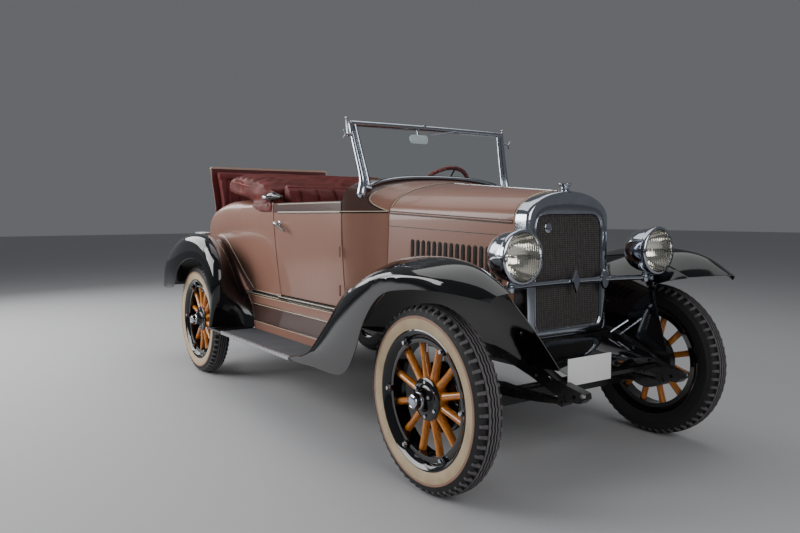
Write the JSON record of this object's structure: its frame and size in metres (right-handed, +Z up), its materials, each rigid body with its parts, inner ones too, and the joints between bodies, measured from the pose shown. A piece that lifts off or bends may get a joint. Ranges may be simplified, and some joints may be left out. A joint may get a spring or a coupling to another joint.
{
  "type": "1920s vintage roadster car with rumble seat",
  "caption": "Open two-seat vintage car body on a ladder frame with wooden spoked wheels, hinged doors, folding hood leaves, steering and a rumble seat lid.",
  "frame": {"origin": "middle of the bounding box on the ground plane the tyres stand on", "axes": "+X forward along the car, +Y to the car's left, +Z up"},
  "size_m": [3.9599, 1.7046, 1.5952],
  "materials": {
    "body_paint": "semi-gloss rose beige enamel",
    "black_paint": "high gloss black enamel",
    "chassis_black": "satin black",
    "engine_grey": "painted casting",
    "tyre_rubber": "tread rubber with cream side wall",
    "spoke_wood": "varnished hickory",
    "wheel_red": "glossy dark red rim",
    "seat_leather": "dark red leather",
    "boot_leather": "dark red leathercloth",
    "nickel": "polished nickel",
    "core_mesh": "blackened mesh",
    "glass_clear": "clear",
    "floor_boards": "dark covered boards",
    "step_rubber": "ribbed grey rubber mat",
    "steel_dark": "dull steel"
  },
  "bodies": {
    "root": {"chassis_frame": "chassis_black", "engine_block": "engine_grey", "front_axle": "chassis_black", "rear_axle": "chassis_black", "springs": "chassis_black", "steering_column": "chassis_black", "spare_tyre": "tyre_rubber", "spare_rim": "black_paint", "cowl": "body_paint", "rear_body": "body_paint", "body_floor": "floor_boards", "dashboard": "body_paint", "front_seat": "seat_leather", "rumble_cushion": "seat_leather", "radiator_shell": "nickel", "radiator_core": "core_mesh", "headlamps": "nickel", "front_fenders": "black_paint", "rear_fenders": "black_paint", "running_boards": "step_rubber", "splash_aprons": "body_paint", "windshield_frame": "nickel", "windshield_glass": "glass_clear", "top_boot": "boot_leather", "fuel_tank": "chassis_black", "exhaust": "steel_dark"},
    "left_knuckle": {"left_knuckle": "chassis_black"},
    "right_knuckle": {"right_knuckle": "chassis_black"},
    "tie_rod": {"tie_rod": "steel_dark"},
    "steering_wheel": {"steering_wheel": "wheel_red"},
    "front_left_wheel": {"front_left_tyre": "tyre_rubber", "front_left_rim": "black_paint", "front_left_spokes": "spoke_wood"},
    "front_right_wheel": {"front_right_tyre": "tyre_rubber", "front_right_rim": "black_paint", "front_right_spokes": "spoke_wood"},
    "rear_left_wheel": {"rear_left_tyre": "tyre_rubber", "rear_left_rim": "black_paint", "rear_left_spokes": "spoke_wood"},
    "rear_right_wheel": {"rear_right_tyre": "tyre_rubber", "rear_right_rim": "black_paint", "rear_right_spokes": "spoke_wood"},
    "left_door": {"left_door": "body_paint"},
    "right_door": {"right_door": "body_paint"},
    "left_hood": {"left_hood": "body_paint"},
    "right_hood": {"right_hood": "body_paint"},
    "rumble_lid": {"rumble_lid": "body_paint", "rumble_lid_pad": "seat_leather"}
  },
  "joints": [
    {"name": "steer_left", "type": "hinge", "parent": "root", "child": "left_knuckle", "pos_m": [1.525, 0.61, 0.381], "axis": [0, 0, 1], "range_deg": [-32, 32]},
    {"name": "steer_right", "type": "hinge", "parent": "root", "child": "right_knuckle", "pos_m": [1.525, -0.61, 0.381], "axis": [0, 0, 1], "range_deg": [-32, 32]},
    {"name": "tie_rod_pivot", "type": "hinge", "parent": "left_knuckle", "child": "tie_rod", "pos_m": [1.375, 0.61, 0.308], "axis": [0, 0, 1], "range_deg": [-32, 32]},
    {"name": "steering_wheel_turn", "type": "hinge", "parent": "root", "child": "steering_wheel", "pos_m": [0.231, 0.32, 1.246], "axis": [-0.7771, 0, 0.6293], "range_deg": [-448, 448]},
    {"name": "front_left_spin", "type": "hinge", "parent": "left_knuckle", "child": "front_left_wheel", "pos_m": [1.525, 0.711, 0.381], "axis": [0, 1, 0], "continuous": true},
    {"name": "front_right_spin", "type": "hinge", "parent": "right_knuckle", "child": "front_right_wheel", "pos_m": [1.525, -0.711, 0.381], "axis": [0, 1, 0], "continuous": true},
    {"name": "rear_left_spin", "type": "hinge", "parent": "root", "child": "rear_left_wheel", "pos_m": [-1.193, 0.711, 0.381], "axis": [0, 1, 0], "continuous": true},
    {"name": "rear_right_spin", "type": "hinge", "parent": "root", "child": "rear_right_wheel", "pos_m": [-1.193, -0.711, 0.381], "axis": [0, 1, 0], "continuous": true},
    {"name": "left_door_hinge", "type": "hinge", "parent": "root", "child": "left_door", "pos_m": [0.5885, 0.59, 0.9], "axis": [0, 0, -1], "range_deg": [0, 70]},
    {"name": "right_door_hinge", "type": "hinge", "parent": "root", "child": "right_door", "pos_m": [0.5885, -0.59, 0.9], "axis": [0, 0, 1], "range_deg": [0, 70]},
    {"name": "left_hood_hinge", "type": "hinge", "parent": "root", "child": "left_hood", "pos_m": [0.776, 0, 1.282], "axis": [0.9966, 0, -0.0819], "range_deg": [0, 60]},
    {"name": "right_hood_hinge", "type": "hinge", "parent": "root", "child": "right_hood", "pos_m": [0.776, 0, 1.282], "axis": [-0.9966, 0, 0.0819], "range_deg": [0, 60]},
    {"name": "rumble_lid_hinge", "type": "hinge", "parent": "root", "child": "rumble_lid", "pos_m": [-1.472, 0, 1.061], "axis": [0, 1, 0], "range_deg": [0, 86.5]}
  ],
  "couplings": [
    {"joint": "steer_right", "follows": "steer_left", "ratio": 1},
    {"joint": "tie_rod_pivot", "follows": "steer_left", "ratio": -1},
    {"joint": "steering_wheel_turn", "follows": "steer_left", "ratio": 14}
  ]
}
